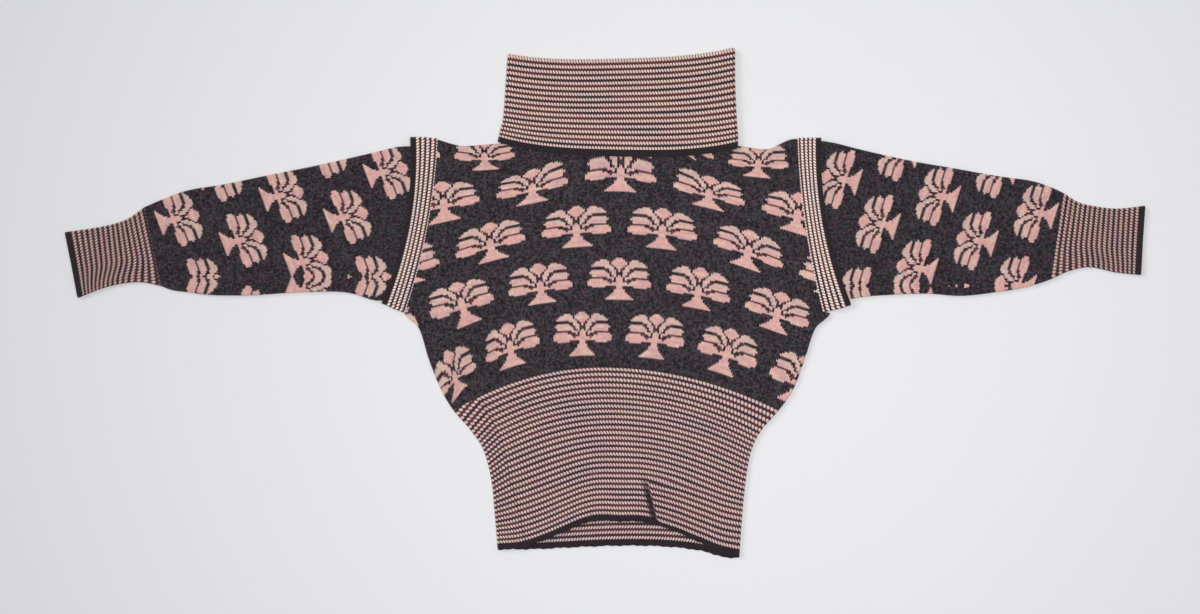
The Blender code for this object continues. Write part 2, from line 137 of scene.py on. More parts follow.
# Pattern: where each row of trees runs, as Y at five places across and on past the outer two,
# and how wide its wales are
TreeRow = namedtuple("TreeRow", "course far_left left middle right far_right mid_x wale")
ACROSS, PAST_ACROSS = (-250, -120, 18, 150, 270), 30
TREES = (
    TreeRow(12, 214, 214, 310, 209, 198, 23, 3.55),
    TreeRow(43, 140, 161, 187, 156, 128, 22, 3.44),
    TreeRow(74, 59, 97, 110, 94, 50, 20, 3.36),
    TreeRow(105, -8, 23, 35, 17, -18, 20, 3.08),
    TreeRow(136, -122, -51, -41, -56, -100, 20, 2.84),
    TreeRow(155, -155, -105, -91, -115, -170, 14, 2.60),
)
REPEAT_WALES, REPEAT_COURSES = 36, 31
COURSE_TALL, LAST_COURSE = 2.43, 154.4
# The trees beside the neck stand on this wale, above this course, and are narrower by a share
SHOULDER_TREE, SHOULDER_COURSE, NARROWER = 54, 30, 0.22
# Low on the body at -X the knit is drawn in, and past the side seam its courses turn down
DRAWN_FROM_X, DRAWN_FROM_COURSE, DRAWN_IN = -150, 105, 0.14
DRAWN_DOWN = (0, 0, 0, 0, 0, 0, 0.15, 0.35, 0.5, 0.6)


def turn(x):
    """A soft step: 0 below 0, 1 above 1, 3x^2 - 2x^3 between."""
    x = np.clip(x, 0, 1)
    return x * x * (3 - 2 * x)


def smooth(at, known, values):
    """A smooth curve through values at the known places (Catmull-Rom slopes), read at at."""
    known, values = np.asarray(known, float), np.asarray(values, float)
    slope = np.gradient(values, known, axis=0)
    i = np.clip(np.searchsorted(known, at, side="right") - 1, 0, len(known) - 2)
    wide = known[i + 1] - known[i]
    t = (np.asarray(at, float) - known[i]) / wide
    if values.ndim == 2:
        t, wide = t[:, None], wide[:, None]
    a, b = values[i], values[i + 1]
    return (
        a * (1 + 2 * t) * (1 - t) ** 2
        + b * t * t * (3 - 2 * t)
        + wide * (slope[i] * t * (1 - t) ** 2 - slope[i + 1] * t * t * (1 - t))
    )


def rows_at(table, at):
    """A table's columns at fractional row numbers, as arrays."""
    kind = type(table[0])
    return kind(*smooth(at, np.arange(len(table)), table).T)


def line_at(points, x):
    """The Y of a line of points at x."""
    known = [p.x for p in points]
    inside = np.clip(np.ravel(x), known[0], known[-1])
    return smooth(inside, known, [p.y for p in points]).reshape(np.shape(x))


def armhole_x(band, y):
    """X of an armhole's edge at y: a straight line from top to low end plus bow * 4t(1-t)."""
    edge = band[0]
    t = np.clip((edge.top_y - y) / (edge.top_y - edge.low_y), 0, 1)
    return edge.top_x + (edge.low_x - edge.top_x) * t + edge.bow * 4 * t * (1 - t)


def torso_rows(rows):
    """The torso's columns at fractional rows, its sides on the armholes above the underarm."""
    c = Course(*(column.reshape(rows.shape) for column in rows_at(TORSO, rows.ravel())))
    above = rows < UNDERARM
    return c._replace(
        left_x=np.where(above, armhole_x(BAND_RIGHT, c.left_y), c.left_x),
        right_x=np.where(above, armhole_x(BAND_LEFT, c.right_y), c.right_x),
    )


def in_neck(x):
    """1 across the neck, 0 along the shoulders."""
    return turn((x - NECK_LEFT) / NECK_TURN) * turn((NECK_RIGHT - x) / NECK_TURN)


def fold_turn(start, radius):
    """Angles from start to a right angle on a round fold, and how far in each one lies.

    Where start is near the right angle the cloth is flat, and the steps spread out along it.
    """
    start = np.asarray(start, float)[..., None]
    step = np.arange(FOLD_STEPS + 1) / FOLD_STEPS
    angle = start + (math.pi / 2 - start) * step
    flat_share = np.clip(start / (math.pi / 2), 0, 1)
    return angle, radius * (np.cos(start) - np.cos(angle)) + OPEN_SPREAD * step * flat_share


def creases_at(creases, x, y):
    """Height of soft creases: each is high * exp(-(along/long)^2 - (across/wide)^2)."""
    total = np.zeros(np.broadcast(x, y).shape)
    for crease in creases:
        a = math.radians(crease.angle)
        along = (x - crease.x) * math.cos(a) + (y - crease.y) * math.sin(a)
        across = (y - crease.y) * math.cos(a) - (x - crease.x) * math.sin(a)
        total += crease.high * np.exp(-((along / crease.long) ** 2) - (across / crease.wide) ** 2)
    return total


def uneven(x):
    """How far a knitted hem's edge wanders, in mm: two unequal waves a few stitches long."""
    return 0.45 * np.sin(x / 1.9) + 0.4 * np.sin(x / 5.3 + 1)


def torso_points(rows, x, side, edge_turn, top_turn, creases, relief=0.0):
    """Points of a torso layer, side 1 for the front and -1 for the back, and the front's Y.

    A course's Y is peak + (edge - peak) s^bend, with s from 0 at the peak to 1 at the side.
    The layer's height is its own level plus puffs beside the folds, the lift of the arched
    hem and the creases; edge_turn and top_turn are angles on the folds round its edges.
    """
    c = torso_rows(rows)
    s = np.where(x < c.peak_x, (c.peak_x - x) / (c.peak_x - c.left_x),
                 (x - c.peak_x) / (c.right_x - c.peak_x))
    s = np.clip(s, 0, 1)
    shape = s ** c.bend
    flat = np.sin(edge_turn) * np.sin(top_turn)
    share = (1 + side * flat) / 2

    def course_y(row, middle_y):
        """Y of a course with this height in the middle and its row's heights at the sides."""
        return middle_y + (np.where(x < row.peak_x, row.left_y, row.right_y) - middle_y) * shape

    top, hem = TORSO[0], TORSO[HEM]
    near_top = turn(1 - rows / TOP_FADE)
    near_hem = turn((rows - HEM + HEM_FADE) / HEM_FADE)
    x_hem = hem.left_x + (x - c.left_x) / (c.right_x - c.left_x) * (hem.right_x - hem.left_x)
    edge = uneven(x_hem) * turn((rows - HEM + EDGE_FADE) / EDGE_FADE)
    top_move = near_top * (line_at(SHOULDERS, x) - course_y(top, top.front_y))
    front_move = line_at(FRONT_HEM, x_hem) - course_y(hem, hem.front_y) + edge
    back_move = line_at(BACK_HEM, x_hem) - course_y(hem, hem.back_y) + edge
    y_front = course_y(c, c.front_y) + top_move + near_hem * front_move
    y_back = course_y(c, c.back_y) + top_move + near_hem * back_move
    y = y_back + (y_front - y_back) * share

    to_side = np.minimum(x - c.left_x, c.right_x - x)
    below_shoulder = line_at(SHOULDERS, x) - y
    rise = turn((NECK_RISE_FROM - below_shoulder) / (NECK_RISE_FROM - NECK_RISE_TO))
    rise = LAYER * rise * in_neck(x) * (rows < UNDERARM)
    off_shoulder = turn((below_shoulder - SHOULDER_FLAT) / SHOULDER_FADE)
    away = turn(to_side / CREASE_FADE) * np.where(rows < UNDERARM, off_shoulder, 1)
    relaxed = creases_at(creases, x, y) * away
    under = BACK + rise + (np.maximum(relaxed, 0) if side < 0 else 0) - relief
    by_side = c.roll * np.exp(-((to_side / PUFF_REACH) ** 2))
    by_top = (1 - in_neck(x)) * np.exp(-((below_shoulder / PUFF_REACH) ** 2))
    over = FRONT + rise + SIDE_PUFF * np.maximum(by_side, by_top) + relief
    over = over + HEM_LIFT * near_hem ** 2 * (1 - s ** 2) + (relaxed if side > 0 else 0)
    z = (over + under) / 2 + side * flat * (over - under) / 2
    return np.stack(np.broadcast_arrays(x, y, z), axis=-1), np.broadcast_to(y_front, z.shape)


def pattern_place(x, y_front, rows):
    """Wale and course numbers on the torso at x and the front's Y.

    Each row of trees is a line of constant course; the course between two lines is shared
    out evenly, and the wale number is (x - mid_x) / wale at that course. Beside the neck and
    low on the side at -X the wales lie closer, and past that side's seam the courses turn
    down, more so towards the waist.
    """
    heights = np.array([[r.far_left, r.left, r.middle, r.right, r.far_right] for r in TREES])
    inside = np.clip(x, ACROSS[0] - PAST_ACROSS, ACROSS[-1] + PAST_ACROSS).ravel()
    lines = smooth(inside, ACROSS, heights.T).T.reshape(len(TREES), *x.shape)
    course = np.array([r.course for r in TREES], float)
    i = np.clip((lines > y_front).sum(axis=0) - 1, 0, len(TREES) - 2)
    upper = np.take_along_axis(lines, i[None], axis=0)[0]
    lower = np.take_along_axis(lines, i[None] + 1, axis=0)[0]
    v = course[i] + (upper - y_front) / (upper - lower) * (course[i + 1] - course[i])
    mid_x = np.interp(v, course, [r.mid_x for r in TREES])
    wale = np.interp(v, course, [r.wale for r in TREES])
    low = turn((v - DRAWN_FROM_COURSE) / REPEAT_COURSES)
    u = (x - mid_x) / wale - DRAWN_IN * low * np.maximum(DRAWN_FROM_X - x, 0)
    high = turn((SHOULDER_COURSE - v) / 6)
    u = u + NARROWER * high * np.sign(u) * (np.abs(u) - SHOULDER_TREE)
    c = torso_rows(rows)
    past_seam = np.maximum(c.left_x + c.seam_in - x, 0)
    v = v - np.interp(rows, np.arange(WAIST + 1), DRAWN_DOWN) * past_seam / COURSE_TALL
    return np.stack([u + 0.5, np.minimum(v, LAST_COURSE)], axis=-1)


def add_object(name, data):
    thing = bpy.data.objects.new(name, data)
    bpy.context.scene.collection.objects.link(thing)
    return thing


def knit_sheet(name, points, stitches, look, nodes, closed=False):
    """A knit wall through a grid of points in mm that are the wall's middle.

    stitches holds each point's wale and course numbers, which go into the UV map; on a closed
    tube they have one column more than the points, for the last seam.
    """
    rows, columns = points.shape[:2]
    r, c = np.meshgrid(np.arange(rows - 1), np.arange(columns if closed else columns - 1),
                       indexing="ij")
    n = (c + 1) % columns
    corners = np.stack([r * columns + c, (r + 1) * columns + c, (r + 1) * columns + n,
                        r * columns + n], axis=-1).reshape(-1, 4)
    uv = np.stack([stitches[r, c], stitches[r + 1, c], stitches[r + 1, c + 1],
                   stitches[r, c + 1]], axis=-2)
    mesh = bpy.data.meshes.new(name)
    mesh.from_pydata((points.reshape(-1, 3) * MM).tolist(), [], corners.tolist())
    mesh.uv_layers.new(name="stitches").data.foreach_set("uv", uv.astype(np.float32).ravel())
    mesh.shade_smooth()
    mesh.materials.append(look)
    piece = add_object(name, mesh)
    wall = piece.modifiers.new("wall", "SOLIDIFY")
    wall.thickness = WALL * MM
    wall.offset = 0
    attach(piece, "root")
    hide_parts(*nodes)


def rows_of(known_y, row_numbers, y):
    """Fractional table rows where the middle of the front is at y."""
    dense = np.linspace(row_numbers[0], row_numbers[-1], FINE_ROWS)
    heights = smooth(dense, row_numbers, known_y)
    return np.interp(-np.asarray(y), -heights, dense)


def body_panel(name, side, creases, look):
    """The front or back panel: a grid of courses against places across, folded at its edges."""
    known = np.arange(WAIST + 2)
    heights = np.linspace(TOP_Y, WAIST_Y, BODY_ROWS)
    middle = rows_of([c.front_y for c in TORSO[: WAIST + 2]], known, heights)
    middle = middle[1:] / middle[-1] * (WAIST - SEAM / ROW_TALL)
    rows = np.concatenate([np.zeros(FOLD_STEPS + 1), middle])
    c = torso_rows(rows)
    start = np.maximum((1 - np.clip(c.roll, 0, 1)) * math.pi / 2, LEAST_TURN)
    edge_turn, inward = fold_turn(start, (LAYER + SIDE_PUFF) / 2)
    inward = inward + SEAM + WALL / 2 * np.clip(c.roll, 0, 1)[:, None]
    left, right = c.left_x[:, None] + inward, c.right_x[:, None] - inward[:, ::-1]
    share = np.linspace(0, 1, BODY_COLUMNS)[1:-1]
    middle = left[:, -1:] + (right[:, :1] - left[:, -1:]) * share
    x = np.concatenate([left, middle, right], axis=1)
    flat = np.full(middle.shape, math.pi / 2)
    edge_turn = np.concatenate([edge_turn, flat, edge_turn[:, ::-1]], axis=1)

    neck = in_neck(x[0])
    start = np.maximum(neck * math.pi / 2, LEAST_TURN)
    turns, below = fold_turn(start, (LAYER + SIDE_PUFF) / 2)
    below = below + WALL / 2 * (1 - neck[:, None])
    rows = np.repeat(rows[:, None], x.shape[1], axis=1)
    rows[: FOLD_STEPS + 1] = below.T / (TORSO[0].front_y - TORSO[1].front_y)
    top_turn = np.full(x.shape, math.pi / 2)
    top_turn[: FOLD_STEPS + 1] = turns.T
    points, y_front = torso_points(rows, x, side, edge_turn, top_turn, creases)
    knit_sheet(name + "_knit", points, pattern_place(x, y_front, rows), look, [name])


def srgb(red, green, blue):
    """A colour read as 0 to 255 on a screen, as the linear light that a shader takes."""
    share = np.array([red, green, blue]) / 255
    return tuple(np.where(share < 0.04045, share / 12.92, ((share + 0.055) / 1.055) ** 2.4))


def rgba(*color):
    return (*srgb(*color), 1)


class Loom:
    """Puts nodes into a shader tree and joins them up."""

    def __init__(self, tree):
        self.tree = tree

    def join(self, value, socket):
        """Gives a socket another node's result or a plain value."""
        if isinstance(value, bpy.types.NodeSocket):
            self.tree.links.new(value, socket)
        else:
            socket.default_value = value

    def put(self, kind, inputs, **settings):
        node = self.tree.nodes.new("ShaderNode" + kind)
        for name, value in settings.items():
            setattr(node, name, value)
        for name, value in inputs.items():
            self.join(value, node.inputs[name])
        return node

    def calc(self, operation, *values):
        """A Math node's result."""
        return self.put("Math", dict(enumerate(values)), operation=operation).outputs[0]

    def step(self, value, low, high):
        """0 below low, 1 above high, a soft step between."""
        inputs = {"Value": value, "From Min": low, "From Max": high}
        return self.put("MapRange", inputs, interpolation_type="SMOOTHSTEP").outputs[0]

    def mix(self, share, first, second):
        """A colour share of the way from first to second."""
        return self.put("Mix", {0: share, 6: first, 7: second}, data_type="RGBA").outputs[2]

    def ramp(self, value, stops, interpolation="LINEAR"):
        """A colour read at value from a row of stops, each a position and a colour."""
        node = self.put("ValToRGB", {"Fac": value})
        node.color_ramp.interpolation = interpolation
        made = node.color_ramp.elements
        for i, (position, color) in enumerate(stops):
            stop = made[i] if i < 2 else made.new(position)
            stop.position, stop.color = position, color
        return node.outputs[0]

    def use(self, effect, inputs):
        """A shared effect's results."""
        return self.put("Group", inputs, node_tree=effect).outputs

    def noise(self, where, scale, detail, rough=0.5):
        inputs = {"Vector": where, "Scale": scale, "Detail": detail, "Roughness": rough}
        return self.put("TexNoise", inputs).outputs[0]

    def dye(self, wale, course, along, between):
        """How a dyed yarn changes: slowly along its course, and more between courses."""
        place = {0: self.calc("MULTIPLY", wale, along), 1: self.calc("MULTIPLY", course, between)}
        return self.noise(self.put("CombineXYZ", place).outputs[0], 1, 1)


def shared_effect(name, takes, gives):
    """A node group with number or colour sockets, as a Loom, its inputs and its outlet."""
    tree = bpy.data.node_groups.new(name, "ShaderNodeTree")
    for end, labels in (("INPUT", takes), ("OUTPUT", gives)):
        for label in labels:
            kind = "NodeSocketColor" if label == "Colour" else "NodeSocketFloat"
            tree.interface.new_socket(label, in_out=end, socket_type=kind)
    inlet = tree.nodes.new("NodeGroupInput")
    outlet = tree.nodes.new("NodeGroupOutput")
    return Loom(tree), inlet.outputs, outlet.inputs


# A knit stitch is a V of two legs. Its course is read on a line that dips at the middle of the
# wale, so colours change along the legs as in real jacquard, and each leg is a rounded ridge.
loom, taken, given = shared_effect(
    "knit_stitch", ["Wale", "Course"], ["Wale number", "Course number", "Height"]
)
leg = loom.calc("PINGPONG", taken["Wale"], 0.5)
dipped = loom.calc("MULTIPLY_ADD", leg, -1.5, taken["Course"])
across_leg = loom.calc("PINGPONG", loom.calc("MULTIPLY", taken["Wale"], 2), 0.5)
ridge = loom.calc("SQRT", loom.calc("MULTIPLY", across_leg, 2))
along_leg = loom.calc("PINGPONG", dipped, 0.5)
rounded = loom.calc("SQRT", loom.calc("MULTIPLY", along_leg, 2))
swell = loom.calc("MULTIPLY_ADD", rounded, 0.55, 0.45)
loom.join(loom.calc("FLOOR", taken["Wale"]), given["Wale number"])
loom.join(loom.calc("FLOOR", dipped), given["Course number"])
loom.join(loom.calc("MULTIPLY", ridge, swell), given["Height"])
knit_stitch = loom.tree

# Wool is never one colour: darker and lighter flecks, and a fine fuzz that catches the light
loom, taken, given = shared_effect(
    "wool_flecks", ["Colour", "Depth", "Warm", "Cool"], ["Colour", "Fuzz"]
)
where = loom.put("TexCoord", {}).outputs["Object"]
fleck, tint = loom.noise(where, 260, 3, 0.65), loom.noise(where, 230, 3, 0.7)
light = loom.calc("MULTIPLY_ADD", loom.calc("SUBTRACT", fleck, 0.5), taken["Depth"], 1.0)
light = loom.calc("MAXIMUM", light, 0.25)
warm = loom.calc("MULTIPLY", loom.step(tint, 0.52, 0.68), taken["Warm"])
cool = loom.calc("MULTIPLY", loom.step(tint, 0.48, 0.34), taken["Cool"])
shaded = loom.put("VectorMath", {0: taken["Colour"], "Scale": light}, operation="SCALE")
reddened = loom.mix(warm, shaded.outputs[0], rgba(104, 66, 92))
loom.join(loom.mix(cool, reddened, rgba(74, 92, 84)), given["Colour"])
loom.join(loom.noise(where, 1900, 2, 0.7), given["Fuzz"])
wool_flecks = loom.tree

# The tree's right half as a knitter's chart, from its axis outwards and from the top down:
# p pink, b the beige part of the same dyed yarn, m maroon, dots the charcoal ground
PALM = (
    "pp..............",
    "ppp...bbb.......",
    "pppp.bbbbbb.....",
    "pppp.bbbbbbb....",
    "pppmbbbbbbbbb...",
    "ppmbbbbmmmmm....",
    "pmmbbmmm........",
    "pmbbbm.bbbbbb...",
    ".mbbm.bbbbbbbb..",
    "..bb.bbpppppp...",
    "p.b..pppppppp...",
    "pp.bppmmmmmmm...",
    "pp.bmm..pppppp..",
    "pp..m.ppppppppp.",
    "ppppmpppppppppp.",
    "ppppppppppppppp.",
    "pp.....pppppp...",
    "pp..............",
    "ppp.............",
    "ppp.............",
    "pppp............",
    "ppppp...........",
    "pppppp..........",
    "ppppppp.........",
)
CHART_STEPS, ROUNDING = 32, 2.0 ** -20


def palm_chart():
    """A group that gives the yarn of each stitch of the repeated trees.

    A row of the chart is kept as three binary numbers, one a yarn, in the colour of a stepped
    ramp; a stitch k wales from the axis is the digit floor(number * 2^(k+1)) modulo 2.
    """
    loom, taken, given = shared_effect(
        "palm_chart", ["Wale number", "Course number"], ["Pink", "Beige", "Maroon"]
    )
    tree_row = loom.calc("FLOOR", loom.calc("DIVIDE", taken["Course number"], REPEAT_COURSES))
    chart_row = loom.calc("SUBTRACT", taken["Course number"],
                          loom.calc("MULTIPLY", tree_row, REPEAT_COURSES))
    half = REPEAT_WALES / 2
    odd_row = loom.calc("FLOORED_MODULO", loom.calc("ADD", tree_row, 1), 2)
    drop = loom.calc("MULTIPLY", odd_row, half)
    shifted = loom.calc("ADD", loom.calc("ADD", taken["Wale number"], drop), half)
    wrapped = loom.calc("FLOORED_MODULO", shifted, REPEAT_WALES)
    from_axis = loom.calc("ABSOLUTE", loom.calc("SUBTRACT", wrapped, half))
    stops = []
    for i, row in enumerate(PALM + ("",)):
        numbers = [sum(2.0 ** -(k + 1) for k, yarn in enumerate(row) if yarn == wanted)
                   for wanted in "pbm"]
        stops.append((i / CHART_STEPS, numbers + [1]))
    at = loom.calc("DIVIDE", loom.calc("ADD", chart_row, 0.5), CHART_STEPS)
    digits = loom.put("SeparateColor", {"Color": loom.ramp(at, stops, "CONSTANT")})
    place = loom.calc("POWER", 2, loom.calc("ADD", from_axis, 1))
    for i, label in enumerate(("Pink", "Beige", "Maroon")):
        number = loom.calc("MULTIPLY", loom.calc("ADD", digits.outputs[i], ROUNDING), place)
        loom.join(loom.calc("FLOORED_MODULO", loom.calc("FLOOR", number), 2), given[label])
    return loom.tree


def finished_look(loom, color, height, depth, fuzz):
    """Wool's shader: rough, with a soft sheen, and stitches and fuzz as bump."""
    stitches = loom.put("Bump", {"Height": height, "Distance": depth, "Strength": 0.9})
    nap = loom.put("Bump", {"Height": fuzz, "Distance": 0.00035, "Strength": 0.6,
                            "Normal": stitches.outputs[0]})
    settings = {"Base Color": color, "Normal": nap.outputs[0], "Roughness": 0.92,
                "Specular IOR Level": 0.18, "Sheen Weight": 0.25, "Sheen Roughness": 0.45,
                "Sheen Tint": rgba(236, 222, 222)}
    for name, value in settings.items():
        loom.join(value, loom.tree.nodes["Principled BSDF"].inputs[name])


def new_look(name):
    """A material, its Loom, and the wale and course numbers from the stitches' map."""
    made = bpy.data.materials.new(name)
    made.use_nodes = True
    loom = Loom(made.node_tree)
    place = loom.put("SeparateXYZ", {0: loom.put("UVMap", {}, uv_map="stitches").outputs[0]})
    return made, loom, place.outputs[0], place.outputs[1]


def palm_look(name, chart, charcoal):
    """Charcoal knit with the palm trees; coloured flecks show in the dark wool alone."""
    made, loom, wale, course = new_look(name)
    stitch = loom.use(knit_stitch, {"Wale": wale, "Course": course})
    yarn = loom.use(chart, {name: stitch[name] for name in ("Wale number", "Course number")})
    dye = loom.dye(wale, stitch["Course number"], 0.11, 0.43)
    pink = loom.ramp(dye, ((0.33, rgba(212, 168, 172)), (0.5, rgba(230, 176, 168)),
                           (0.68, rgba(228, 194, 180))))
    beige = loom.ramp(dye, ((0.35, rgba(214, 178, 175)), (0.65, rgba(225, 192, 179))))
    color = loom.mix(yarn["Pink"], rgba(*charcoal), pink)
    color = loom.mix(yarn["Beige"], color, beige)
    color = loom.mix(yarn["Maroon"], color, rgba(78, 38, 44))
    bare = loom.calc("SUBTRACT", 1, loom.calc("ADD", yarn["Pink"], yarn["Beige"]))
    wool = loom.use(wool_flecks, {
        "Colour": color, "Depth": loom.calc("MULTIPLY_ADD", bare, 8.6, 0.8),
        "Warm": loom.calc("MULTIPLY", bare, 0.6), "Cool": loom.calc("MULTIPLY", bare, 0.5)})
    finished_look(loom, wool["Colour"], stitch["Height"], 0.0007, wool["Fuzz"])
    return made


trees_chart = palm_chart()
palm_knit = palm_look("palm_knit", trees_chart, (48, 42, 47))
body_panel("body_back", -1, BODY_CREASES, palm_knit)
body_panel("body_front", 1, BODY_CREASES, palm_knit)

# WAISTBAND. A deep close-fitting band of plain knit in narrow pink and dark stripes that ends
# in a charcoal hem. Its front is one piece; its back wraps round the side at -X to a seam on
# the front, and shows its inside under the arched front hem.
STRIPE, WAIST_WALES, HEM_Y = 7.35, 86, -302
WAISTBAND_HEM = 1.2  # the charcoal hem, in stripes
WAIST_ROWS, FRONT_COLUMNS, BACK_COLUMNS, WRAP_COLUMNS = 123, 260, 130, 8
# Beside the pinched crease the stripes step down: where, at what lean and by what share of
# one, and how soft, wide and tall the step is
STEP_X, STEP_Y, STEP_SLOPE, STEP_SHARE = 59, -243, -0.227, 0.5
STEP_SOFT, STEP_WIDE, STEP_TALL = 3, 60, 16
# Painted shade down the pinched crease, where the fold keeps out the light: the wale where its
# line meets the hem and its lean, how it fades at the sides and top, and how dark it is painted
PINCH_WALE, PINCH_SLOPE = 56.1, 0.53  # where the pinch meets the hem, and its lean
PINCH_SIDES, PINCH_TOP, PINCH_SHADE_STRENGTH = (2.0, 0.4), (9.5, 5.0), 0.96
# How steeply the wrap's stripes rise at each row of the torso from the waist to the hem
WRAP_RISE, WRAP_FADE, WRAP_LEVEL = (0.34, 0.34, 0.3, 0.2, 0.1, 0.0), 70, 5
WAIST_CREASES = (
    Crease(60, -276, 105, 32, 4.5, 1.7),
    Crease(65, -276, 105, 30, 1.8, -2.0),
    Crease(-17, -296, 80, 12, 1.6, -0.9),
    Crease(-27, -290, 88, 26, 8, 0.9),
    Crease(-120, -240, 74, 60, 10, 0.8),
    Crease(150, -236, -72, 64, 11, 0.8),
    Crease(40, -190, 88, 70, 12, 0.7),
    Crease(-70, -176, 66, 44, 10, -0.4),
)

loom, taken, given = shared_effect(
    "stripe_yarns", ["Wale", "Stripe", "Hem", "Reach"], ["Light", "Line", "Hem", "Height"]
)
within = loom.calc("FRACT", taken["Stripe"])
line_number = loom.calc("FLOOR", loom.calc("ADD", taken["Stripe"], 0.5))
off_middle = loom.calc("ABSOLUTE", loom.calc("SUBTRACT", within, 0.5))
slanted = loom.calc("MULTIPLY_ADD", loom.calc("SUBTRACT", within, 0.5), 0.75, taken["Wale"])
grain = loom.calc("MULTIPLY", loom.calc("PINGPONG", slanted, 0.5), 2)
across_bead = loom.calc("POWER", loom.calc("DIVIDE", loom.calc("SUBTRACT", 1, grain), 0.88), 2)
along_bead = loom.calc("POWER", loom.calc("DIVIDE", off_middle, taken["Reach"]), 2)
bead = loom.calc("SUBTRACT", 1, loom.calc("ADD", across_bead, along_bead))
light = loom.step(bead, 0.0, 0.4)
in_hem = loom.calc("LESS_THAN", taken["Stripe"], taken["Hem"])
light = loom.calc("MULTIPLY", light, loom.calc("SUBTRACT", 1, in_hem))
height = loom.calc("SQRT", loom.calc("MAXIMUM", loom.calc("MULTIPLY_ADD", bead, 0.8, 0.2), 0))
for label, value in zip(("Light", "Line", "Hem", "Height"), (light, line_number, in_hem, height)):
    loom.join(value, given[label])
stripe_yarns = loom.tree


def striped_look(name, light_color, maroon, dark, hem_color, hem, reach, painted_pinch_shade=False):
    """Plain knit in stripes, each a row of slanted light stitches between two dark lines.

    If asked, it also paints shade down the pinched crease over the hem: the wool's colour is
    darkened there, where the fold keeps out the light.
    """
    made, loom, wale, stripe = new_look(name)
    yarns = loom.use(stripe_yarns, {"Wale": wale, "Stripe": stripe, "Hem": hem, "Reach": reach})
    stitch = loom.use(knit_stitch, {"Wale": wale, "Course": loom.calc("MULTIPLY", stripe, 3)})
    dye = loom.dye(wale, yarns["Line"], 0.05, 0.71)
    odd = loom.calc("FLOORED_MODULO", yarns["Line"], 2)
    redder = loom.step(loom.calc("MULTIPLY_ADD", odd, 0.22, dye), 0.45, 0.75)
    lines = loom.mix(redder, rgba(*dark), rgba(*maroon))
    shades = [rgba(*np.add(light_color, change))
              for change in ((-8, -6, 2), (4, -6, -3), (-2, 5, -9))]
    color = loom.mix(yarns["Light"], lines, loom.ramp(dye, zip((0.32, 0.5, 0.68), shades)))
    color = loom.mix(yarns["Hem"], color, rgba(*hem_color))
    # Painted shade: near-black mixed into the colour down the pinched crease, in place of the
    # fold's shadow
    if painted_pinch_shade:
        leaning = loom.calc("MULTIPLY_ADD", stripe, PINCH_SLOPE, wale)
        beside = loom.calc("ABSOLUTE", loom.calc("SUBTRACT", leaning, PINCH_WALE))
        deep = loom.calc("MULTIPLY", loom.step(beside, *PINCH_SIDES),
                         loom.step(stripe, *PINCH_TOP))
        color = loom.mix(loom.calc("MULTIPLY", deep, PINCH_SHADE_STRENGTH), color, rgba(38, 28, 32))
    wool = loom.use(wool_flecks, {"Colour": color, "Depth": 0.7, "Warm": 0.12, "Cool": 0.08})
    plain = loom.calc("MULTIPLY", stitch["Height"], yarns["Hem"])
    height = loom.calc("MULTIPLY_ADD", yarns["Height"],
                       loom.calc("SUBTRACT", 1, yarns["Hem"]), plain)
    finished_look(loom, wool["Colour"], height, 0.0009, wool["Fuzz"])
    return made


def stripe_relief(stripe, hem):
    """Dark lines lie in shallow troughs: -deep (1 + cos(2 pi stripe)), and the hem is plain."""
    deep = 0.16
    return -deep * (1 + np.cos(2 * math.pi * stripe)) * turn((stripe - hem + 0.5) * 2)


